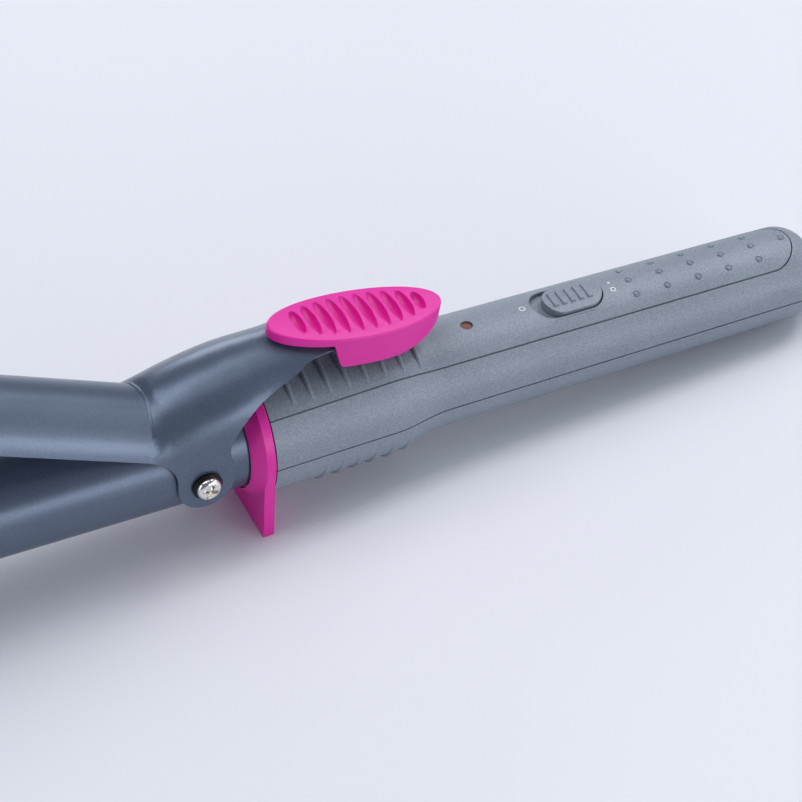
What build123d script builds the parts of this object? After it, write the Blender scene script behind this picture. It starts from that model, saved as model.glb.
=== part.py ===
from build123d import *
from math import atan2, cos, degrees, radians, sin, sqrt, tan
import os

# A hair curling iron with a spring clamp, standing on its stand foot and handle end.
# It is drawn level: X runs from the barrel tip (-X) to the handle end (+X) with x = 0
# where the barrel enters the stand collar, and Z points up through the clamp.
# At the end every piece is tilted onto its foot and moved, so that the resting surface
# is z = 0 and the origin is at the bottom centre of the whole object.
# All sizes are in millimetres and all angles in degrees.

# Barrel
BARREL_RADIUS = 12.5
BARREL_WALL = 1.0
BARREL_TIP_X = -148.0
BARREL_ROOT_X = 20.0
BARREL_BORE = BARREL_RADIUS - BARREL_WALL
TIP_LENGTH = 20.0

# Clamp: a sheet trough, a lever neck bent up from it, and two ears on the pivot
SHEET = 0.7
CLAMP_OUTER = 13.4
CLAMP_INNER = CLAMP_OUTER - SHEET
TROUGH_HALF_ANGLE = 70.0
TROUGH_TIP_X = -144.0
CREASE_X = -27.4
BEAD_REACH = 55.0
PIVOT_X = -10.6
EAR_RADIUS = 6.8
OPEN_ANGLE = 24.2
NECK_CREST = 25.7
NECK_END_X = 40.0
SCREW_RADIUS = 1.5
BUSH_RADIUS = 2.4
RUNNING_FIT = 0.05

# Stand collar
RIM_RADIUS = 16.0
RIM_FRONT_X = 2.9
RIM_BACK_X = 5.5
FOOT_DROP = 21.0
FOOT_HALF_WIDTH = 15.2

# Handle: a round body that necks down behind the finger grip
HANDLE_FRONT_X = 5.8
GRIP_END_X = 36.0
WAIST_X = 51.0
TAPER_END_X = 146.0
HANDLE_END_X = 152.0
FRONT_RADIUS = 15.65
GRIP_END_RADIUS = 14.9
WAIST_RADIUS = 12.6
TAPER_END_RADIUS = 11.45
END_RADIUS = 9.0
SHELL_WALL = 2.4
SEAM = 0.35
LOWER_RIB_FIRST_X = 18.9
LOWER_RIB_PITCH = 4.3
LOWER_RIB_COUNT = 6
LOWER_RIB_REACH = 78.0
LOWER_RIB_HEIGHT = 1.1
LOWER_RIB_WIDTH = 1.9

# Screws that hold the two shells together
BOSS_XS = (43.0, 122.0)
UPPER_BOSS_RADIUS = 3.0
LOWER_BOSS_RADIUS = 4.0
SHELL_SCREW_RADIUS = 1.1
HEAD_SEAT_Z = -4.0

# Inlay along the top of the handle
PANEL_THICKNESS = 1.2
PANEL_HALF_ANGLE = 40.0
PANEL_FRONT_WIDER = 1.08
PANEL_GAP = 0.3
PANEL_END_X = 147.4
RIB_FIRST_X = 12.4
RIB_PITCH = 4.65
RIB_COUNT = 8
RIB_REACH = 36.0
RIB_HEIGHT = 0.85
RIB_WIDTH = 1.4
RIB_ROOT = 0.6
DOT_FIRST_X = 103.2
DOT_PITCH = 8.45
DOT_ROW_ANGLE = 21.5
DOT_RADIUS = 0.6
LAMP_X = 60.3
LAMP_RADIUS = 1.5

# Slide switch, in a shallow pocket of the inlay
POCKET_X = 86.6
POCKET_LENGTH = 18.7
POCKET_WIDTH = 9.7
POCKET_DEPTH = 2.0
BUTTON_LENGTH = 14.9
BUTTON_WIDTH = 8.7
SWITCH_TRAVEL = 3.0
BUTTON_X = POCKET_X + SWITCH_TRAVEL / 2

# Thumb pad
PAD_CENTRE_X = 31.1
PAD_CENTRE_Z = 26.0
PAD_SLOPE = 7.0
PAD_HALF_LENGTH = 21.7
PAD_HALF_WIDTH = 8.3
PAD_EDGE = 1.6
PAD_CROWN = 0.8
SKIRT_START = -7.2
SKIRT_DEPTH = 8.0
PAD_ROUNDING = 0.6
PAD_GROOVE_PITCH = 3.38
PAD_GROOVE_COUNT = 10
PAD_GROOVE_HALF_LENGTH = 6.6
PAD_GROOVE_DEPTH = 1.9

# Cord swivel in the handle end
GLAND_RADIUS = 5.2
CORD_BORE_RADIUS = 3.5
GLAND_TAIL_X = 160.0

# Heater leads, either side of the middle
LEAD_RADIUS = 1.0
LEAD_Y = 6.2
FUSED_LEAD_Z = 1.6
RETURN_LEAD_Z = -1.6

# Clamp spring, on a pin above the barrel
SPRING_X = -7.0
SPRING_Z = 16.2

# Resting tilt, from the foot's drop to the underside of the handle end
TILT = degrees(atan2(FOOT_DROP - TAPER_END_RADIUS, TAPER_END_X - RIM_BACK_X))


# ---- helpers ----

def rod(radius, start_x, end_x, y=0.0, z=0.0):
    """A cylinder along X."""
    length = end_x - start_x
    return Pos(start_x + length / 2, y, z) * Rot(0, 90, 0) * Cylinder(radius, length)


def tube(outer, inner, start_x, end_x, y=0.0, z=0.0):
    """A hollow cylinder along X."""
    return rod(outer, start_x, end_x, y, z) - rod(inner, start_x - 1, end_x + 1, y, z)


def post(radius, x, y, bottom_z, top_z):
    """A cylinder along Z."""
    return Pos(x, y, (bottom_z + top_z) / 2) * Cylinder(radius, top_z - bottom_z)


def axle(radius, x, z, start_y, end_y):
    """A cylinder along Y."""
    middle = (start_y + end_y) / 2
    return Pos(x, middle, z) * Rot(90, 0, 0) * Cylinder(radius, abs(end_y - start_y))


def block(start, end):
    """A box between two corners."""
    size = [high - low for low, high in zip(start, end)]
    centre = [(low + high) / 2 for low, high in zip(start, end)]
    return Pos(*centre) * Box(*size)


def mirrored(solid):
    """The piece and its twin on the other side of the Y = 0 plane."""
    return [solid, mirror(solid, about=Plane.XZ)]


def side_prism(outline, half_width):
    """A closed outline in the XZ plane, widened both ways along Y."""
    return extrude(make_face(outline), amount=half_width, both=True)


def stadium(length, width, bottom_z, top_z, x):
    """A block with round ends, long along X."""
    outline = Pos(x, 0, bottom_z) * SlotOverall(length, width)
    return extrude(outline, amount=top_z - bottom_z)


# ---- handle body ----

def ease(x, start, end):
    """Smooth step from 0 at the start to 1 at the end."""
    share = min(1.0, max(0.0, (x - start) / (end - start)))
    return share * share * (3 - 2 * share)


def handle_radius(x):
    """Outer radius of the handle: the grip, the neck-down behind it and the long taper."""
    if x <= GRIP_END_X:
        share = (x - HANDLE_FRONT_X) / (GRIP_END_X - HANDLE_FRONT_X)
        return FRONT_RADIUS + share * (GRIP_END_RADIUS - FRONT_RADIUS)
    if x <= WAIST_X:
        return GRIP_END_RADIUS + ease(x, GRIP_END_X, WAIST_X) * (WAIST_RADIUS - GRIP_END_RADIUS)
    share = (x - WAIST_X) / (TAPER_END_X - WAIST_X)
    return WAIST_RADIUS + share * (TAPER_END_RADIUS - WAIST_RADIUS)


def handle_solid(inset=0.0, front_x=HANDLE_FRONT_X, end_x=HANDLE_END_X):
    """The handle's round body, pulled in all round by the inset."""
    front = (front_x, 0, handle_radius(front_x) - inset)
    grip_end = (GRIP_END_X, 0, GRIP_END_RADIUS - inset)
    waist = (WAIST_X, 0, WAIST_RADIUS - inset)
    taper_end = (TAPER_END_X, 0, TAPER_END_RADIUS - inset)
    end = (end_x, 0, END_RADIUS - inset)
    grip_slope = (GRIP_END_X - front_x, 0, grip_end[2] - front[2])
    taper_slope = (TAPER_END_X - WAIST_X, 0, TAPER_END_RADIUS - WAIST_RADIUS)
    outline = [
        Line((front_x, 0, 0), front),
        Line(front, grip_end),
        Spline(grip_end, waist, tangents=[grip_slope, taper_slope]),
        Line(waist, taper_end),
        TangentArc(taper_end, end, tangent=taper_slope),
        Line(end, (end_x, 0, 0)),
        Line((end_x, 0, 0), (front_x, 0, 0)),
    ]
    return revolve(make_face(outline), axis=Axis.X)


def panel_prism(gap=0.0):
    """The inlay's outline seen from above, as a tall block."""
    wide = sin(radians(PANEL_HALF_ANGLE))
    front_y = FRONT_RADIUS * wide * PANEL_FRONT_WIDER + gap
    grip_y = GRIP_END_RADIUS * wide + gap
    waist_y = WAIST_RADIUS * wide + gap
    end_y = TAPER_END_RADIUS * wide + gap
    front_x = HANDLE_FRONT_X - 1
    round_x = PANEL_END_X + gap - end_y
    grip_slope = (GRIP_END_X - front_x, grip_y - front_y)
    rear_slope = (round_x - WAIST_X, end_y - waist_y)
    half = [
        Line((front_x, 0), (front_x, front_y)),
        Line((front_x, front_y), (GRIP_END_X, grip_y)),
        Spline((GRIP_END_X, grip_y), (WAIST_X, waist_y), tangents=[grip_slope, rear_slope]),
        Line((WAIST_X, waist_y), (round_x, end_y)),
        RadiusArc((round_x, end_y), (PANEL_END_X + gap, 0), end_y),
        Line((PANEL_END_X + gap, 0), (front_x, 0)),
    ]
    upper = make_face(half)
    return extrude(upper + mirror(upper, about=Plane.XZ), amount=FRONT_RADIUS + 5)


def fading_ring(x, radius, height, width, reach_angle):
    """A ring round a cylinder of that radius: highest at the top, sinking in at the reach angle."""
    top = radius + height
    drop = top - radius * cos(radians(reach_angle))
    shift = (height ** 2 + 2 * radius * height) / (2 * drop)
    return Pos(x, 0, shift) * Rot(0, 90, 0) * Torus(top - shift - width / 2, width / 2)


def finger_rib(x, height, width, reach_angle):
    """One raised rib across the top of the handle, kept to the skin."""
    skin = handle_solid(-height - 1) - handle_solid(RIB_ROOT)
    ring = fading_ring(x, handle_radius(x), height, width, reach_angle)
    return ring & skin & block((x - width, -20, 0), (x + width, 20, 20))


def hollow_handle():
    cavity = handle_solid(SHELL_WALL, HANDLE_FRONT_X + 2, HANDLE_END_X - 2.5)
    body = handle_solid() - cavity
    body -= rod(BARREL_RADIUS + 0.05, 0, HANDLE_FRONT_X + 3)
    return body - rod(GLAND_RADIUS + RUNNING_FIT, HANDLE_END_X - 4, HANDLE_END_X + 1)


def upper_handle_shell():
    shell = hollow_handle() & block((0, -20, SEAM / 2), (160, 20, 20))
    recess = handle_solid(-3) - handle_solid(PANEL_THICKNESS + 0.05)
    shell -= recess & panel_prism(gap=PANEL_GAP)
    for x in BOSS_XS:
        shell += post(UPPER_BOSS_RADIUS, x, 0, SEAM / 2, FRONT_RADIUS) & handle_solid(SHELL_WALL - 0.3)
        shell -= post(SHELL_SCREW_RADIUS, x, 0, -1, 8)
    shell -= post(LAMP_RADIUS + 0.05, LAMP_X, 0, 5, 20)
    shell -= stadium(POCKET_LENGTH + 1, POCKET_WIDTH + 1, 5, 20, POCKET_X)
    return shell


def lower_handle_shell():
    shell = hollow_handle() & block((0, -20, -20), (160, 20, -SEAM / 2))
    for x in BOSS_XS:
        shell += post(LOWER_BOSS_RADIUS, x, 0, -FRONT_RADIUS, -SEAM / 2) & handle_solid(0.5)
        shell -= post(LOWER_BOSS_RADIUS - 1, x, 0, -20, HEAD_SEAT_Z)
        shell -= post(SHELL_SCREW_RADIUS + 0.5, x, 0, -20, 1)
    for step in range(LOWER_RIB_COUNT):
        x = LOWER_RIB_FIRST_X + LOWER_RIB_PITCH * step
        rib = finger_rib(x, LOWER_RIB_HEIGHT, LOWER_RIB_WIDTH, LOWER_RIB_REACH)
        shell += Rot(180, 0, 0) * rib
    lip = handle_solid(SHELL_WALL - 0.3, WAIST_X, TAPER_END_X) & block((52, -20, -3), (140, 20, -0.5))
    lip += handle_solid(SHELL_WALL + 0.06, WAIST_X, TAPER_END_X) & block((52, -20, -1), (140, 20, 1.2))
    lip -= handle_solid(SHELL_WALL + 0.8, WAIST_X, TAPER_END_X)
    return shell + lip


def top_panel():
    panel = (handle_solid() - handle_solid(PANEL_THICKNESS)) & panel_prism()
    for step in range(RIB_COUNT):
        rib = finger_rib(RIB_FIRST_X + RIB_PITCH * step, RIB_HEIGHT, RIB_WIDTH, RIB_REACH)
        panel += rib & panel_prism()
    top = handle_radius(POCKET_X)
    floor_z = top - POCKET_DEPTH
    panel += stadium(POCKET_LENGTH + 0.8, POCKET_WIDTH + 0.8, floor_z - 0.6, top - 1.0, POCKET_X)
    panel -= stadium(POCKET_LENGTH, POCKET_WIDTH, floor_z, top + 2, POCKET_X)
    panel -= stadium(9.0, 3.4, 5, top + 2, POCKET_X)
    panel -= post(LAMP_RADIUS, LAMP_X, 0, 5, 20)
    for row, count in ((-1, 5), (0, 6), (1, 5)):
        for step in range(count):
            x = DOT_FIRST_X + DOT_PITCH * step
            moat = Pos(x, 0, handle_radius(x)) * Torus(DOT_RADIUS + 0.1, 0.22)
            dome = Pos(x, 0, handle_radius(x) - 0.25) * Sphere(DOT_RADIUS)
            panel -= Rot(row * DOT_ROW_ANGLE, 0, 0) * moat
            panel += Rot(row * DOT_ROW_ANGLE, 0, 0) * dome
    return panel


# ---- barrel, heater and collar ----

def barrel_tube():
    barrel = tube(BARREL_RADIUS, BARREL_BORE, BARREL_TIP_X, BARREL_ROOT_X)
    return barrel - axle(SCREW_RADIUS + 0.1, PIVOT_X, 0, -20, 20)


def cool_tip():
    start = BARREL_TIP_X - TIP_LENGTH
    body = fillet(rod(BARREL_RADIUS, start, BARREL_TIP_X).edges().sort_by(Axis.X)[0], 5.0)
    spigot = tube(BARREL_BORE, BARREL_BORE - 2, BARREL_TIP_X, BARREL_TIP_X + 10)
    tip = body + spigot
    for step in range(3):
        groove = tube(BARREL_RADIUS + 1, BARREL_RADIUS - 0.5, start + 8 + 3 * step, start + 9 + 3 * step)
        tip -= groove
    return tip - rod(1.25, BARREL_TIP_X - 12, BARREL_TIP_X + 11)


def tip_screw():
    """Screw that pulls the tip against the end of the heater block."""
    head = rod(2.6, BARREL_TIP_X + 10, BARREL_TIP_X + 12)
    return head + rod(1.2, BARREL_TIP_X - 10, BARREL_TIP_X + 10)


def heat_spreader(side):
    """Half-round aluminium block; side is 1 for the upper one and -1 for the lower one."""
    half = rod(BARREL_BORE - 0.05, -126, -46)
    half &= block((-130, -12, 2.3), (-40, 12, 12))
    half -= block((-130, -9.2, 0), (-40, 9.2, 2.5))
    for y in (-6.0, 6.0):
        half -= rod(1.6, -130, -40, y, 6.4)
    return half if side > 0 else Rot(180, 0, 0) * half


def heater_insulation():
    """Flat film sleeve round the heater pack."""
    return block((-124, -9.1, -2.4), (-48, 9.1, 2.4)) - block((-125, -8.7, -2.1), (-47, 8.7, 2.1))


def heater_electrodes():
    strip = block((-122, -8, 1.3), (-44, 8, 1.9))
    return [strip, Rot(180, 0, 0) * strip]


def ptc_elements():
    return [block((x, -7.5, -1.25), (x + 22, 7.5, 1.25)) for x in (-121, -97, -73)]


def thermal_fuse():
    return rod(1.9, -40, -29, LEAD_Y, FUSED_LEAD_Z) + rod(0.5, -44, -24, LEAD_Y, FUSED_LEAD_Z)


def heater_leads():
    """Two insulated leads: one from the fuse and one from the lower electrode."""
    fused = rod(LEAD_RADIUS, -24, 54, LEAD_Y, FUSED_LEAD_Z)
    return [fused, rod(LEAD_RADIUS, -44, 54, -LEAD_Y, RETURN_LEAD_Z)]


def lead_insulator():
    disc = rod(BARREL_BORE - 0.05, 4, 9)
    for y, z in ((LEAD_Y, FUSED_LEAD_Z), (-LEAD_Y, RETURN_LEAD_Z)):
        disc -= rod(LEAD_RADIUS + 0.05, 0, 12, y, z)
    return disc


def hinge_bracket():
    """Band inside the barrel with a tapped boss for each pivot screw."""
    band = tube(BARREL_BORE - 0.05, BARREL_BORE - 1.25, PIVOT_X - 5, PIVOT_X + 5)
    band &= block((-20, -20, -20), (0, 20, 6))
    for side in (-1, 1):
        band += axle(3.2, PIVOT_X, 0, side * 7.6, side * 10.9)
    return band - axle(SCREW_RADIUS - 0.15, PIVOT_X, 0, -20, 20)


def pivot_screws():
    head = axle(3.0, PIVOT_X, 0, -14.1, -15.9)
    head = fillet(head.edges().sort_by(Axis.Y)[0], 1.2)
    for angle in (20, 110):
        head -= Pos(PIVOT_X, -15.8, 0) * Rot(0, angle, 0) * Box(3.9, 2.2, 0.95)
    shank = axle(SCREW_RADIUS - 0.15, PIVOT_X, 0, -14.2, -7.8)
    return mirrored(head + shank)


def pivot_bushes():
    """Flanged bushes: the ears turn on them and the screws clamp them to the barrel."""
    bush = axle(BUSH_RADIUS, PIVOT_X, 0, -14.1, -12.1) + axle(3.6, PIVOT_X, 0, -14.1, -13.75)
    bush -= rod(BARREL_RADIUS, PIVOT_X - 6, PIVOT_X + 6)
    return mirrored(bush - axle(SCREW_RADIUS - 0.1, PIVOT_X, 0, -20, 0))


def spring_seat():
    """Saddle spot-welded on top of the barrel, with two cheeks for the spring's pin."""
    saddle = block((SPRING_X - 5, -4.6, 10), (SPRING_X + 5, 4.6, 13.4)) - rod(BARREL_RADIUS, -20, 0)
    cheek = block((SPRING_X - 2.6, 3.8, 12.9), (SPRING_X + 2.6, 4.6, SPRING_Z))
    cheek += axle(2.6, SPRING_X, SPRING_Z, 3.8, 4.6)
    saddle += cheek + mirror(cheek, about=Plane.XZ)
    return saddle - axle(1.05, SPRING_X, SPRING_Z, -10, 10)


def spring_pin():
    pin = axle(1.0, SPRING_X, SPRING_Z, -5.1, 5.1)
    return pin + Compound(mirrored(axle(1.7, SPRING_X, SPRING_Z, 4.65, 5.4)))


def torsion_spring():
    """Closing spring: a coil on the pin, a short leg on the saddle and a long leg to the lever."""
    wire, coil_radius, pitch, turns = 0.45, 1.85, 1.0, 5
    half = pitch * turns / 2
    path = Helix(pitch, pitch * turns, coil_radius)
    coil = sweep(Plane(origin=path @ 0, z_dir=path % 0) * Circle(wire), path=path)
    spring = Pos(SPRING_X, half, SPRING_Z) * Rot(90, 0, 0) * coil
    leg_x = SPRING_X + coil_radius
    spring += post(wire, leg_x, half, 13.5, SPRING_Z)
    spring += post(wire, leg_x, -half, SPRING_Z, 22.0)
    return spring + Pos(leg_x, -half, 22.0) * Sphere(wire) + rod(wire, leg_x, leg_x + 4, -half, 22.0)


def stand_collar():
    cone = [
        Polyline((-0.2, 0, BARREL_RADIUS + 0.05), (RIM_FRONT_X, 0, RIM_RADIUS - 0.3),
                 (RIM_FRONT_X + 0.3, 0, RIM_RADIUS), (RIM_BACK_X - 0.3, 0, RIM_RADIUS),
                 (RIM_BACK_X, 0, RIM_RADIUS - 0.3), (RIM_BACK_X, 0, BARREL_RADIUS + 0.05),
                 (-0.2, 0, BARREL_RADIUS + 0.05)),
    ]
    collar = revolve(make_face(cone), axis=Axis.X)
    plate = block((RIM_FRONT_X, -FOOT_HALF_WIDTH, -FOOT_DROP - 1), (RIM_BACK_X, FOOT_HALF_WIDTH, -4))
    plate = fillet(plate.edges().filter_by(Axis.X).group_by(Axis.Z)[0], 2.0)
    below_sole = Pos(RIM_BACK_X, 0, -FOOT_DROP) * Rot(0, -TILT, 0) * Pos(0, 0, -10) * Box(40, 40, 20)
    collar += plate - rod(BARREL_RADIUS + 1, 0, 8)
    counterbore = rod(BARREL_RADIUS + 0.6, -1, 1.2)
    return collar - below_sole - counterbore


def barrel_holder():
    """Heat-proof ring between the barrel's root and the handle shells."""
    inside = handle_radius(HANDLE_FRONT_X) - SHELL_WALL - 0.4
    ring = tube(inside, BARREL_RADIUS, HANDLE_FRONT_X + 3.2, BARREL_ROOT_X)
    return ring + tube(inside - 0.3, 9.0, BARREL_ROOT_X, BARREL_ROOT_X + 2.5)


# ---- clamp ----

def lever_point(x, z):
    """A point of the closed clamp, turned to where it is with the clamp open."""
    turn = radians(OPEN_ANGLE)
    reach = x - PIVOT_X
    return (PIVOT_X + reach * cos(turn) + z * sin(turn), z * cos(turn) - reach * sin(turn))


def open_clamp(solid):
    """Turn a solid drawn in the closed position to the open position."""
    return Pos(PIVOT_X, 0, 0) * Rot(0, OPEN_ANGLE, 0) * Pos(-PIVOT_X, 0, 0) * solid


def trough():
    ring = tube(CLAMP_OUTER, CLAMP_INNER, TROUGH_TIP_X, CREASE_X)
    edge_z = CLAMP_OUTER * cos(radians(TROUGH_HALF_ANGLE))
    arc = ring & block((TROUGH_TIP_X - 1, -20, edge_z), (CREASE_X + 1, 20, 20))
    nose = [
        Polyline((TROUGH_TIP_X - 1, 0, edge_z - 1), (TROUGH_TIP_X + 9, 0, edge_z - 1)),
        Spline((TROUGH_TIP_X + 9, 0, edge_z - 1), (TROUGH_TIP_X, 0, CLAMP_OUTER - 4),
               tangents=[(-1, 0, 0.4), (0, 0, 1)]),
        Polyline((TROUGH_TIP_X, 0, CLAMP_OUTER - 4), (TROUGH_TIP_X - 1, 0, CLAMP_OUTER - 4),
                 (TROUGH_TIP_X - 1, 0, edge_z - 1)),
    ]
    return open_clamp(arc - side_prism(nose, 20))


def neck_section(x, half_width, crest, arch, inset):
    """One cross-section of the lever's neck: an arch on two straight flanks."""
    wide, top, spring_z, bottom = half_width - inset, crest - inset, crest - arch, -9.0
    outline = [
        ThreePointArc((x, -wide, spring_z), (x, 0, top), (x, wide, spring_z)),
        Line((x, wide, spring_z), (x, wide, bottom)),
        Line((x, wide, bottom), (x, -wide, bottom)),
        Line((x, -wide, bottom), (x, -wide, spring_z)),
    ]
    return make_face(outline)


def neck_shape(x):
    """Half width, crest height and arch height of the open lever's neck at x."""
    half_width = CLAMP_OUTER - 6.9 * ease(x, -4, 25) - 0.9 * ease(x, 25, NECK_END_X)
    arch = CLAMP_OUTER - 11.8 * ease(x, -8, 21)
    straight_x = 22.0
    crest = NECK_CREST - 0.0057 * (min(x, straight_x) - 11.5) ** 2
    crest -= tan(radians(PAD_SLOPE)) * max(0.0, x - straight_x)
    return half_width, crest, arch


def neck_body(inset):
    """Solid under the neck's outer surface, or under its inner one with the sheet as inset."""
    crease = neck_section(CREASE_X, CLAMP_OUTER, CLAMP_OUTER, CLAMP_OUTER, inset)
    sections = [open_clamp(crease)]
    stations = [-18.0 + 2.8 * step for step in range(16)] + [32.0, NECK_END_X]
    for x in stations:
        sections.append(neck_section(x, *neck_shape(x), inset))
    return loft(sections, ruled=True)


def neck_profile():
    """Side outline of the ears and the neck: what is left of the sheet."""
    front_x = PIVOT_X - EAR_RADIUS
    edge_z = CLAMP_OUTER * cos(radians(TROUGH_HALF_ANGLE))
    far = lever_point(-60, edge_z)
    near = lever_point(-20, edge_z)
    slope = (near[1] - far[1]) / (near[0] - far[0])
    corner_z = far[1] + slope * (front_x - far[0])
    front = FilletPolyline((far[0], 0, far[1]), (front_x, 0, corner_z), (front_x, 0, 0), radius=9.0)
    back_x = PIVOT_X + EAR_RADIUS
    return [
        front,
        ThreePointArc((front_x, 0, 0), (PIVOT_X, 0, -EAR_RADIUS), (back_x, 0, 0)),
        Spline((back_x, 0, 0), (back_x - 0.9, 0, 9.0), (3.6, 0, 18.3), (13.5, 0, 21.9), (24, 0, 22.9),
               tangents=[(0, 0, 1), (1, 0, -0.12)]),
        Polyline((24, 0, 22.9), (46, 0, 20.3), (46, 0, 60), (far[0], 0, 60), (far[0], 0, far[1])),
    ]


def crease_bead():
    """Rounded bead pressed up where the neck bends away from the trough."""
    bead = fading_ring(CREASE_X + 0.6, CLAMP_OUTER, 0.6, 2.0, BEAD_REACH)
    bead &= block((CREASE_X - 2, -20, 6), (CREASE_X + 3, 20, 20))
    return open_clamp(bead - rod(CLAMP_INNER, CREASE_X - 3, CREASE_X + 4))


def clamp_plate():
    neck = neck_body(0.0) - neck_body(SHEET)
    neck &= side_prism(neck_profile(), 20)
    plate = trough() + neck + crease_bead()
    plate -= axle(BUSH_RADIUS + RUNNING_FIT, PIVOT_X, 0, -20, 20)
    for s in (-1.5, 5.0):
        plate -= on_pad(post(1.35, s, 0, -6, 2))
    return plate


def on_pad(solid):
    """Place a solid drawn about the pad's centre."""
    return Pos(PAD_CENTRE_X, 0, PAD_CENTRE_Z) * Rot(0, PAD_SLOPE, 0) * solid


def oval_prism(shrink, bottom_z, top_z):
    oval = Pos(0, 0, bottom_z) * Ellipse(PAD_HALF_LENGTH - shrink, PAD_HALF_WIDTH - shrink)
    return extrude(oval, amount=top_z - bottom_z)


def thumb_pad():
    crown_radius = (PAD_HALF_WIDTH ** 2 + PAD_CROWN ** 2) / (2 * PAD_CROWN)
    plate = oval_prism(0, -PAD_EDGE, PAD_CROWN + 1)
    plate &= rod(crown_radius, -30, 30, 0, PAD_CROWN - crown_radius)
    plate = fillet(plate.edges().group_by(Axis.Z)[-1], PAD_ROUNDING)
    corner_s = SKIRT_START + 2.4
    side = [
        Polyline((30, 0, -PAD_EDGE + 0.1), (SKIRT_START - 1, 0, -PAD_EDGE + 0.1),
                 (corner_s - 1.5, 0, 1.4 - SKIRT_DEPTH)),
        ThreePointArc((corner_s - 1.5, 0, 1.4 - SKIRT_DEPTH), (corner_s - 1, 0, 0.5 - SKIRT_DEPTH),
                      (corner_s, 0, -SKIRT_DEPTH)),
        Line((corner_s, 0, -SKIRT_DEPTH), (7, 0, -SKIRT_DEPTH)),
        Spline((7, 0, -SKIRT_DEPTH), (PAD_HALF_LENGTH, 0, -3.4), tangents=[(1, 0, 0), (1, 0, 0.5)]),
        Polyline((PAD_HALF_LENGTH, 0, -3.4), (30, 0, -3.0), (30, 0, -PAD_EDGE + 0.1)),
    ]
    skirt = (oval_prism(0, -20, 0) - oval_prism(1.2, -21, 1)) & side_prism(side, 20)
    pad = plate + skirt
    for step in range(PAD_GROOVE_COUNT):
        s = PAD_GROOVE_PITCH * (step - (PAD_GROOVE_COUNT - 1) / 2) + 0.8
        half_length = PAD_GROOVE_HALF_LENGTH * sqrt(1 - (s / (PAD_HALF_LENGTH - 3.5)) ** 2)
        pad -= Pos(s, 0, PAD_CROWN) * scale(Sphere(1), by=(1.35, half_length, PAD_GROOVE_DEPTH))
    for s in (-1.5, 5.0):
        pad += post(1.3, s, 0, -3.2, -PAD_EDGE + 0.2)
        pad += post(2.2, s, 0, -4.0, -2.9)
    return on_pad(pad)


# ---- switch, lamp and wiring ----

def slide_button():
    top = handle_radius(BUTTON_X)
    button = stadium(BUTTON_LENGTH, BUTTON_WIDTH, top - 1.9, top + 0.5, BUTTON_X)
    button &= rod(top + 0.45, 60, 110)
    for step in range(5):
        x = BUTTON_X - 0.7 + 2.25 * (step - 2)
        bar = block((x - 0.55, -2.3, top - 0.5), (x + 0.55, 2.3, top + 0.85))
        button += fillet(bar.edges().group_by(Axis.Z)[-1], 0.3)
    return button + block((BUTTON_X - 2.2, -1.3, top - 4.0), (BUTTON_X + 2.2, 1.3, top - 1.8))


def switch_actuator():
    top = handle_radius(BUTTON_X)
    fork = block((BUTTON_X - 3.2, -2.2, top - 6.6), (BUTTON_X + 3.2, 2.2, top - 3.0))
    return fork - block((BUTTON_X - 2.25, -1.35, top - 4.05), (BUTTON_X + 2.25, 1.35, top))


def switch_body():
    top = handle_radius(BUTTON_X)
    body = block((POCKET_X - 10, -4.2, 2.1), (POCKET_X + 10, 4.2, top - 4.6))
    return body - block((POCKET_X - 6, -2.5, 4.0), (POCKET_X + 6, 2.5, top))


def circuit_board():
    return block((54, -7, 0.5), (106, 7, 2.1))


def indicator_led():
    led = post(1.45, LAMP_X, 0, 2.1, 7.4) + Pos(LAMP_X, 0, 7.4) * Sphere(1.45)
    return led + post(1.9, LAMP_X, 0, 2.1, 3.2)


def lamp_lens():
    top = handle_radius(LAMP_X)
    window = post(LAMP_RADIUS - 0.05, LAMP_X, 0, top - 3.0, top - 0.5)
    return window + post(2.0, LAMP_X, 0, top - 3.4, top - 2.7)


def contact_carrier():
    """Fixed block with the brush contacts of the cord swivel."""
    return block((126.6, -5.75, -5.5), (131, 5.75, 5.5)) - rod(2.6, 120, 132)


def contact_blades():
    """Two brass blades that press on the turning rings."""
    return mirrored(block((129, 5.75, -1.5), (140.5, 6.1, 1.5)))


def supply_leads():
    return [rod(0.9, 106.2, 126.5, y, 1.3) for y in (-4.6, 4.6)]


def handle_screws():
    screws = []
    head_height = 2.1
    for x in BOSS_XS:
        head = post(2.7, x, 0, HEAD_SEAT_Z - head_height, HEAD_SEAT_Z)
        for angle in (0, 90):
            head -= Pos(x, 0, HEAD_SEAT_Z - head_height) * Rot(0, 0, angle) * Box(3.2, 0.7, 1.6)
        screws.append(head + post(SHELL_SCREW_RADIUS, x, 0, HEAD_SEAT_Z - 0.1, 6.5))
    return screws


def cord_gland():
    """Turning core: a nose with the contact rings, a flange behind the end wall, and a tail."""
    nose = rod(4.6, 133, 142) + rod(GLAND_RADIUS + 1.3, 142, HANDLE_END_X - 2.7)
    tail = rod(GLAND_RADIUS, 145, GLAND_TAIL_X)
    tail = fillet(tail.edges().sort_by(Axis.X)[-1], 1.2)
    core = nose + tail - rod(2.2, 130, 148)
    return core - rod(CORD_BORE_RADIUS, 146, GLAND_TAIL_X + 1)


def contact_rings():
    return [tube(5.6, 4.6, x, x + 2.4) for x in (134.4, 138.4)]


# ---- assembly ----

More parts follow.
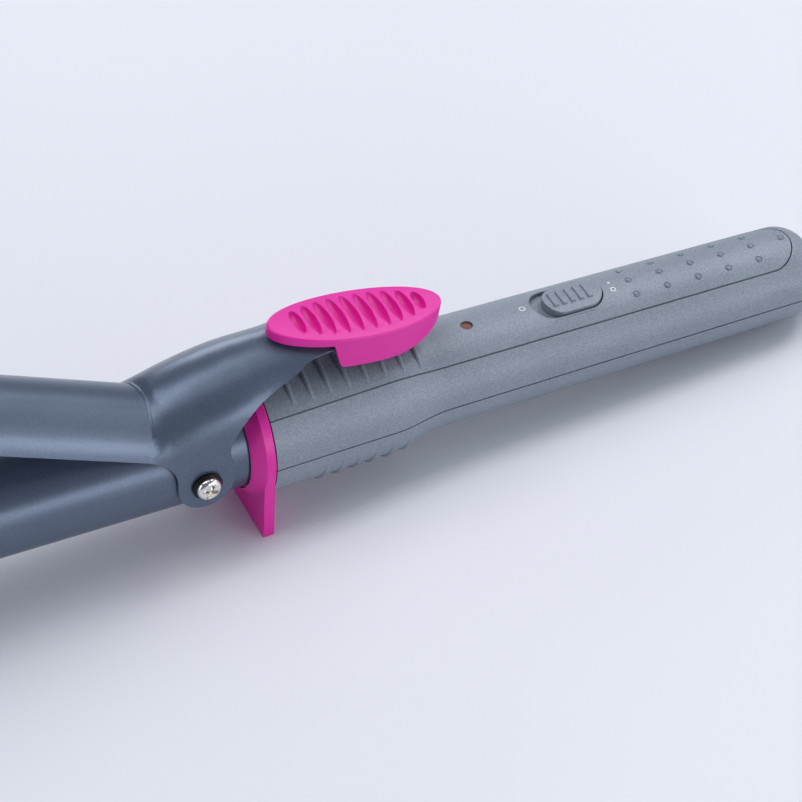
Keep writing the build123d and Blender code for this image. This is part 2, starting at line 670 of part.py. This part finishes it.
def build_nodes():
    return {
        "barrel_tube": barrel_tube(),
        "cool_tip": cool_tip(),
        "tip_screw": tip_screw(),
        "heat_spreader_upper": heat_spreader(1),
        "heat_spreader_lower": heat_spreader(-1),
        "heater_insulation": heater_insulation(),
        "heater_electrodes": heater_electrodes(),
        "ptc_elements": ptc_elements(),
        "thermal_fuse": thermal_fuse(),
        "heater_leads": heater_leads(),
        "lead_insulator": lead_insulator(),
        "hinge_bracket": hinge_bracket(),
        "pivot_screws": pivot_screws(),
        "pivot_bushes": pivot_bushes(),
        "spring_seat": spring_seat(),
        "spring_pin": spring_pin(),
        "torsion_spring": torsion_spring(),
        "stand_collar": stand_collar(),
        "barrel_holder": barrel_holder(),
        "upper_handle_shell": upper_handle_shell(),
        "lower_handle_shell": lower_handle_shell(),
        "top_panel": top_panel(),
        "handle_screws": handle_screws(),
        "circuit_board": circuit_board(),
        "indicator_led": indicator_led(),
        "lamp_lens": lamp_lens(),
        "switch_body": switch_body(),
        "switch_actuator": switch_actuator(),
        "slide_button": slide_button(),
        "contact_carrier": contact_carrier(),
        "contact_blades": contact_blades(),
        "supply_leads": supply_leads(),
        "cord_gland": cord_gland(),
        "contact_rings": contact_rings(),
        "clamp_plate": clamp_plate(),
        "thumb_pad": thumb_pad(),
    }


def flat_list(piece):
    """The separate solids of a piece."""
    if isinstance(piece, list):
        return [solid for item in piece for solid in flat_list(item)]
    return list(piece.solids())


def main():
    os.makedirs("parts", exist_ok=True)
    nodes = {name: flat_list(piece) for name, piece in build_nodes().items()}
    tilted = {name: [Rot(0, TILT, 0) * solid for solid in solids] for name, solids in nodes.items()}
    box = Compound([solid for solids in tilted.values() for solid in solids]).bounding_box()
    rest = Pos(-(box.min.X + box.max.X) / 2, -(box.min.Y + box.max.Y) / 2, -box.min.Z)
    for name, solids in tilted.items():
        placed = [rest * solid for solid in solids]
        export_step(placed[0] if len(placed) == 1 else Compound(placed), f"parts/{name}.step")


if __name__ == "__main__":
    main()
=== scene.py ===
import math
import bpy
from mathutils import Matrix, Vector


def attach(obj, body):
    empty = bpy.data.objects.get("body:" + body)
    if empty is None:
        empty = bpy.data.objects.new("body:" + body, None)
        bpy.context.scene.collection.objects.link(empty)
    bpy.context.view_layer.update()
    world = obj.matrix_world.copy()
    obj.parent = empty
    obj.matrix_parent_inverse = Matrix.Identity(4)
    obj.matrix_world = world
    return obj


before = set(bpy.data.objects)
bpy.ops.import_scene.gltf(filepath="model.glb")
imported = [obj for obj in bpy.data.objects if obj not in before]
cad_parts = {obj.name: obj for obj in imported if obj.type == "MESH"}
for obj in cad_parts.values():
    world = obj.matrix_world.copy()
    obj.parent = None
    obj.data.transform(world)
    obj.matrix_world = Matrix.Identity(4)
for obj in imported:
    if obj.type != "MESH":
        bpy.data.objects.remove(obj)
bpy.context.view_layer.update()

# The looks of a hair curling iron: materials, fine detail, floor, lights and camera.
# Lengths are in metres, in the frame of the CAD model. "Iron axes" below are the drawing's
# own axes, in millimetres: x along the barrel, z up through the clamp, before the tilt.

TILT = math.radians(3.8885)
SHIFT = (4.1138, 0.0, 21.3384)
MM = 0.001

# Camera
CAMERA_PLACE = (-0.1603, -0.4504, 0.5114)
CAMERA_RIGHT = (0.9020, -0.4315, -0.0129)
CAMERA_BACK = (-0.2960, -0.6399, 0.7091)
LENS_MM = 134.7
SENSOR_MM = 36.0

CLIP_NEAR = 0.01
CLIP_FAR = 20.0

# Square and wide softboxes, all aimed at the origin: name, direction, width and height, watts
LIGHT_DISTANCE = 3.0
SOFTBOXES = (
    ("softbox_top", (0.0, 0.0, 1.0), (1.8, 1.8), 9),
    ("softbox_top_small", (0.15, 0.35, 0.93), (0.8, 0.8), 4),
    ("softbox_back", (0.2, 0.95, 0.3), (1.0, 1.0), 13),
    ("softbox_back_right", (0.6, 0.5, 0.6), (1.4, 1.4), 12),
    ("softbox_upper_left", (-0.34, 0.22, 0.9), (1.8, 1.8), 27),
    ("softbox_key", (0.6, 0.15, 0.8), (0.8, 0.8), 18),
    ("softbox_front", (0.46, -0.86, 0.14), (2.4, 1.0), 27),
    ("softbox_front_right", (0.7, -0.6, 0.4), (1.8, 1.8), 9),
    ("softbox_left", (-0.95, 0.0, 0.3), (1.8, 1.8), 16),
    ("softbox_right", (0.95, 0.0, 0.3), (1.8, 1.8), 12),
)
SKY_COLOUR = (0.76, 0.83, 1.0, 1.0)
SKY_STRENGTH = 0.24
FLOOR_HALF_WIDTH = 3.0

# Rounded edges: the width of the bevel on each node that shows, in metres
EDGE_WIDTHS = (
    ("clamp_plate", 0.00012),
    ("stand_collar", 0.0002),
    ("slide_button", 0.0001),
    ("thumb_pad", 0.00015),
    ("upper_handle_shell", 0.0001),
    ("lower_handle_shell", 0.0001),
    ("top_panel", 0.00008),
)
WELD_DISTANCE = 0.000002
SHARP_ANGLE = math.radians(38)

# Rear part of the handle, in iron axes and millimetres, for the printed marks
WAIST_X = 51.0
WAIST_RADIUS = 12.6
TAPER_END_X = 146.0
TAPER_END_RADIUS = 11.45
INK_TOP = 0.04
INK_BOTTOM = -0.05
MARK_STEPS = 32


def srgb(red, green, blue):
    """A linear colour from the three usual 0-255 values."""
    def linear(value):
        share = value / 255
        return share / 12.92 if share <= 0.04045 else ((share + 0.055) / 1.055) ** 2.4
    return (linear(red), linear(green), linear(blue), 1.0)


def iron_point(x, y, z):
    """A point in iron axes, in millimetres, as a place in the frame."""
    return Vector((
        (x * math.cos(TILT) + z * math.sin(TILT) + SHIFT[0]) * MM,
        y * MM,
        (-x * math.sin(TILT) + z * math.cos(TILT) + SHIFT[2]) * MM,
    ))


# ---- materials ----

class Recipe:
    """One node material under construction."""

    def __init__(self, name):
        self.material = bpy.data.materials.new(name)
        self.material.use_nodes = True
        self.tree = self.material.node_tree
        self.shader = self.tree.nodes["Principled BSDF"]
        self.place = self.tree.nodes.new("ShaderNodeTexCoord").outputs["Object"]

    def set(self, **values):
        for label, value in values.items():
            self.shader.inputs[label.replace("_", " ")].default_value = value

    def noise(self, scale, detail=2.0, roughness=0.5):
        node = self.tree.nodes.new("ShaderNodeTexNoise")
        node.inputs["Scale"].default_value = scale
        node.inputs["Detail"].default_value = detail
        node.inputs["Roughness"].default_value = roughness
        self.tree.links.new(self.place, node.inputs["Vector"])
        return node.outputs["Fac"]

    def ramp(self, source, stops):
        node = self.tree.nodes.new("ShaderNodeValToRGB")
        self.tree.links.new(source, node.inputs["Fac"])
        elements = node.color_ramp.elements
        while len(elements) < len(stops):
            elements.new(0.5)
        for element, (position, colour) in zip(elements, stops):
            element.position = position
            element.color = colour
        return node.outputs["Color"]

    def blend(self, share, first, second):
        node = self.tree.nodes.new("ShaderNodeMix")
        node.data_type = "RGBA"
        inputs = node.inputs
        for socket, value in ((inputs[0], share), (inputs[6], first), (inputs[7], second)):
            if isinstance(value, bpy.types.NodeSocket):
                self.tree.links.new(value, socket)
            else:
                socket.default_value = value
        return node.outputs[2]

    def range(self, source, low, high):
        node = self.tree.nodes.new("ShaderNodeMapRange")
        node.inputs["To Min"].default_value = low
        node.inputs["To Max"].default_value = high
        self.tree.links.new(source, node.inputs["Value"])
        return node.outputs["Result"]

    def bump(self, source, distance, strength):
        node = self.tree.nodes.new("ShaderNodeBump")
        node.inputs["Distance"].default_value = distance
        node.inputs["Strength"].default_value = strength
        self.tree.links.new(source, node.inputs["Height"])
        return node.outputs["Normal"]

    def feed(self, label, socket):
        self.tree.links.new(socket, self.shader.inputs[label])


def heated_paint():
    """Satin grey-blue paint with fine metal flake."""
    recipe = Recipe("heated_paint")
    recipe.set(Metallic=0.45)
    cloud = recipe.ramp(recipe.noise(60), [(0.3, srgb(84, 97, 118)), (0.7, srgb(90, 103, 124))])
    flake = recipe.ramp(recipe.noise(5200, 1.0), [(0.45, srgb(70, 82, 102)), (0.62, srgb(118, 130, 150))])
    recipe.feed("Base Color", recipe.blend(0.25, cloud, flake))
    recipe.feed("Roughness", recipe.range(recipe.noise(900, 3.0), 0.27, 0.34))
    recipe.feed("Normal", recipe.bump(recipe.noise(3000, 2.0), 0.00003, 0.25))
    return recipe.material


def handle_plastic():
    """Moulded grey plastic with a fine sparkly grain."""
    recipe = Recipe("handle_plastic")
    recipe.set(Metallic=0.15)
    cloud = recipe.ramp(recipe.noise(45), [(0.3, srgb(128, 138, 151)), (0.7, srgb(136, 146, 159))])
    grain = recipe.ramp(recipe.noise(3400, 2.0), [(0.35, srgb(92, 104, 118)), (0.68, srgb(170, 180, 190))])
    recipe.feed("Base Color", recipe.blend(0.35, cloud, grain))
    recipe.feed("Roughness", recipe.range(recipe.noise(2600, 2.0), 0.42, 0.56))
    recipe.feed("Normal", recipe.bump(recipe.noise(2800, 3.0), 0.00006, 0.35))
    return recipe.material


def pink_plastic():
    """Satin magenta plastic."""
    recipe = Recipe("pink_plastic")
    cloud = recipe.ramp(recipe.noise(70), [(0.3, srgb(222, 24, 156)), (0.7, srgb(228, 28, 162))])
    recipe.feed("Base Color", cloud)
    recipe.feed("Roughness", recipe.range(recipe.noise(1800, 2.0), 0.34, 0.42))
    recipe.feed("Normal", recipe.bump(recipe.noise(2400, 2.0), 0.00003, 0.2))
    recipe.set(Subsurface_Weight=0.05, Subsurface_Scale=0.002)
    return recipe.material


def plain_metal(name, colour, roughness):
    """Machined metal with faint turning marks."""
    recipe = Recipe(name)
    recipe.set(Metallic=1.0)
    shade = tuple(0.82 * c for c in colour[:3]) + (1.0,)
    recipe.feed("Base Color", recipe.ramp(recipe.noise(500, 3.0), [(0.35, shade), (0.65, colour)]))
    recipe.feed("Roughness", recipe.range(recipe.noise(1500, 3.0), roughness * 0.8, roughness * 1.25))
    recipe.feed("Normal", recipe.bump(recipe.noise(4000, 2.0), 0.00002, 0.2))
    return recipe.material


def plain_plastic(name, colour, roughness):
    """Moulded plastic with a faint mottle and grain."""
    recipe = Recipe(name)
    shade = tuple(0.8 * c for c in colour[:3]) + (1.0,)
    recipe.feed("Base Color", recipe.ramp(recipe.noise(400, 3.0), [(0.35, shade), (0.65, colour)]))
    recipe.feed("Roughness", recipe.range(recipe.noise(1500, 3.0), roughness * 0.85, roughness * 1.15))
    recipe.feed("Normal", recipe.bump(recipe.noise(3000, 2.0), 0.00003, 0.3))
    return recipe.material


def make_materials():
    return {
        "heated_paint": heated_paint(),
        "handle_plastic": handle_plastic(),
        "pink_plastic": pink_plastic(),
        "tip_plastic": plain_plastic("tip_plastic", srgb(38, 41, 46), 0.45),
        "chrome_steel": plain_metal("chrome_steel", srgb(235, 232, 226), 0.12),
        "zinc_steel": plain_metal("zinc_steel", srgb(176, 176, 180), 0.35),
        # black_steel is painted shade: the pivot bushes are coloured near-black to stand for the shaded
        # dimple wall and shadow around the screw heads
        "black_steel": plain_metal("black_steel", srgb(52, 48, 50), 0.45),
        "spring_steel": plain_metal("spring_steel", srgb(150, 150, 154), 0.3),
        "aluminium": plain_metal("aluminium", srgb(206, 208, 212), 0.4),
        "brass": plain_metal("brass", srgb(212, 178, 104), 0.3),
        "ceramic": plain_plastic("ceramic", srgb(226, 222, 212), 0.6),
        "film": plain_plastic("film", srgb(196, 140, 50), 0.3),
        "dark_plastic": plain_plastic("dark_plastic", srgb(34, 36, 40), 0.5),
        "lead_sleeve": plain_plastic("lead_sleeve", srgb(228, 226, 220), 0.5),
        "board": plain_plastic("board", srgb(32, 92, 58), 0.4),
        "lamp_red": plain_plastic("lamp_red", srgb(120, 60, 50), 0.15),
        "print_white": plain_plastic("print_white", srgb(225, 228, 232), 0.5),
    }


def paint_nodes(materials):
    """Each CAD node gets the material of its own slot."""
    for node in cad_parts.values():
        for slot in node.material_slots:
            slot.material = materials[slot.material.name]


def soften(name, width):
    """Small rounded edges and even shading on a CAD node, with modifiers only."""
    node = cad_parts[name]
    weld = node.modifiers.new("weld", "WELD")
    weld.merge_threshold = WELD_DISTANCE
    bevel = node.modifiers.new("edges", "BEVEL")
    bevel.width = width
    bevel.segments = 2
    bevel.limit_method = "ANGLE"
    bevel.angle_limit = SHARP_ANGLE
    bevel.loop_slide = False
    normals = node.modifiers.new("normals", "WEIGHTED_NORMAL")
    normals.weight = 80
    normals.keep_sharp = False
    for face in node.data.polygons:
        face.use_smooth = True


# ---- printed marks ----

def panel_radius(x):
    """Radius of the handle's rear part at x, in millimetres."""
    share = (x - WAIST_X) / (TAPER_END_X - WAIST_X)
    return WAIST_RADIUS + share * (TAPER_END_RADIUS - WAIST_RADIUS)


def printed_mark(name, x, y, half_length, half_width, hole, squareness, material):
    """A thin closed ring of ink on the panel; the hole is a share of its size."""
    def corner(angle, share, height):
        along = abs(math.cos(angle)) ** squareness * math.copysign(half_length, math.cos(angle))
        across = abs(math.sin(angle)) ** squareness * math.copysign(half_width, math.sin(angle))
        here_x, here_y = x + along * share, y + across * share
        return iron_point(here_x, here_y, math.sqrt(panel_radius(here_x) ** 2 - here_y ** 2) + height)

    points = []
    for share, height in ((1.0, INK_TOP), (hole, INK_TOP), (hole, INK_BOTTOM), (1.0, INK_BOTTOM)):
        points += [corner(2 * math.pi * step / MARK_STEPS, share, height) for step in range(MARK_STEPS)]
    faces = []
    for loop in range(4):
        first, second = loop * MARK_STEPS, (loop + 1) % 4 * MARK_STEPS
        for step in range(MARK_STEPS):
            after = (step + 1) % MARK_STEPS
            faces.append((first + step, first + after, second + after, second + step))
    mesh = bpy.data.meshes.new(name)
    mesh.from_pydata(points, [], faces)
    mesh.materials.append(material)
    piece = bpy.data.objects.new(name, mesh)
    bpy.context.scene.collection.objects.link(piece)
    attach(piece, "iron_body")


def switch_marks(material):
    """Plain signs at the two ends of the slide switch: a ring, and a dot with a ring."""
    printed_mark("mark_off_ring", 75.0, 0.2, 0.8, 0.8, 0.65, 1.0, material)
    printed_mark("mark_on_dot", 98.4, 0.9, 0.35, 0.35, 0.05, 1.0, material)
    printed_mark("mark_on_ring", 98.4, -1.5, 0.7, 0.7, 0.6, 1.0, material)


# ---- stage ----

def make_floor():
    half = FLOOR_HALF_WIDTH
    mesh = bpy.data.meshes.new("floor")
    corners = [(-half, -half, 0), (half, -half, 0), (half, half, 0), (-half, half, 0)]
    mesh.from_pydata(corners, [], [(0, 1, 2, 3)])
    floor = bpy.data.objects.new("floor", mesh)
    bpy.context.scene.collection.objects.link(floor)
    recipe = Recipe("floor")
    shades = [(0.3, srgb(228, 230, 238)), (0.7, srgb(232, 234, 241))]
    recipe.feed("Base Color", recipe.ramp(recipe.noise(3), shades))
    recipe.set(Roughness=0.35, Specular_IOR_Level=0.3)
    mesh.materials.append(recipe.material)


def add_softbox(name, direction, size, watts):
    data = bpy.data.lights.new(name, "AREA")
    data.shape = "RECTANGLE"
    data.size, data.size_y = size
    data.energy = watts
    light = bpy.data.objects.new(name, data)
    light.location = LIGHT_DISTANCE * Vector(direction).normalized()
    light.rotation_euler = (-light.location).to_track_quat("-Z", "Y").to_euler()
    bpy.context.scene.collection.objects.link(light)


def make_lights():
    for name, direction, size, watts in SOFTBOXES:
        add_softbox(name, direction, size, watts)
    world = bpy.data.worlds.new("studio")
    world.use_nodes = True
    background = world.node_tree.nodes["Background"]
    background.inputs["Color"].default_value = SKY_COLOUR
    background.inputs["Strength"].default_value = SKY_STRENGTH
    bpy.context.scene.world = world


def make_camera():
    data = bpy.data.cameras.new("camera")
    data.lens = LENS_MM
    data.sensor_width = SENSOR_MM
    data.clip_start = CLIP_NEAR
    data.clip_end = CLIP_FAR
    camera = bpy.data.objects.new("camera", data)
    back = Vector(CAMERA_BACK).normalized()
    right = Vector(CAMERA_RIGHT)
    right = (right - back * right.dot(back)).normalized()
    up = back.cross(right)
    turn = Matrix((right, up, back)).transposed().to_4x4()
    camera.matrix_world = Matrix.Translation(CAMERA_PLACE) @ turn
    bpy.context.scene.collection.objects.link(camera)
    bpy.context.scene.camera = camera


materials = make_materials()
paint_nodes(materials)
for name, width in EDGE_WIDTHS:
    soften(name, width)
switch_marks(materials["print_white"])
make_floor()
make_lights()
make_camera()
bpy.context.scene.view_settings.view_transform = "Standard"
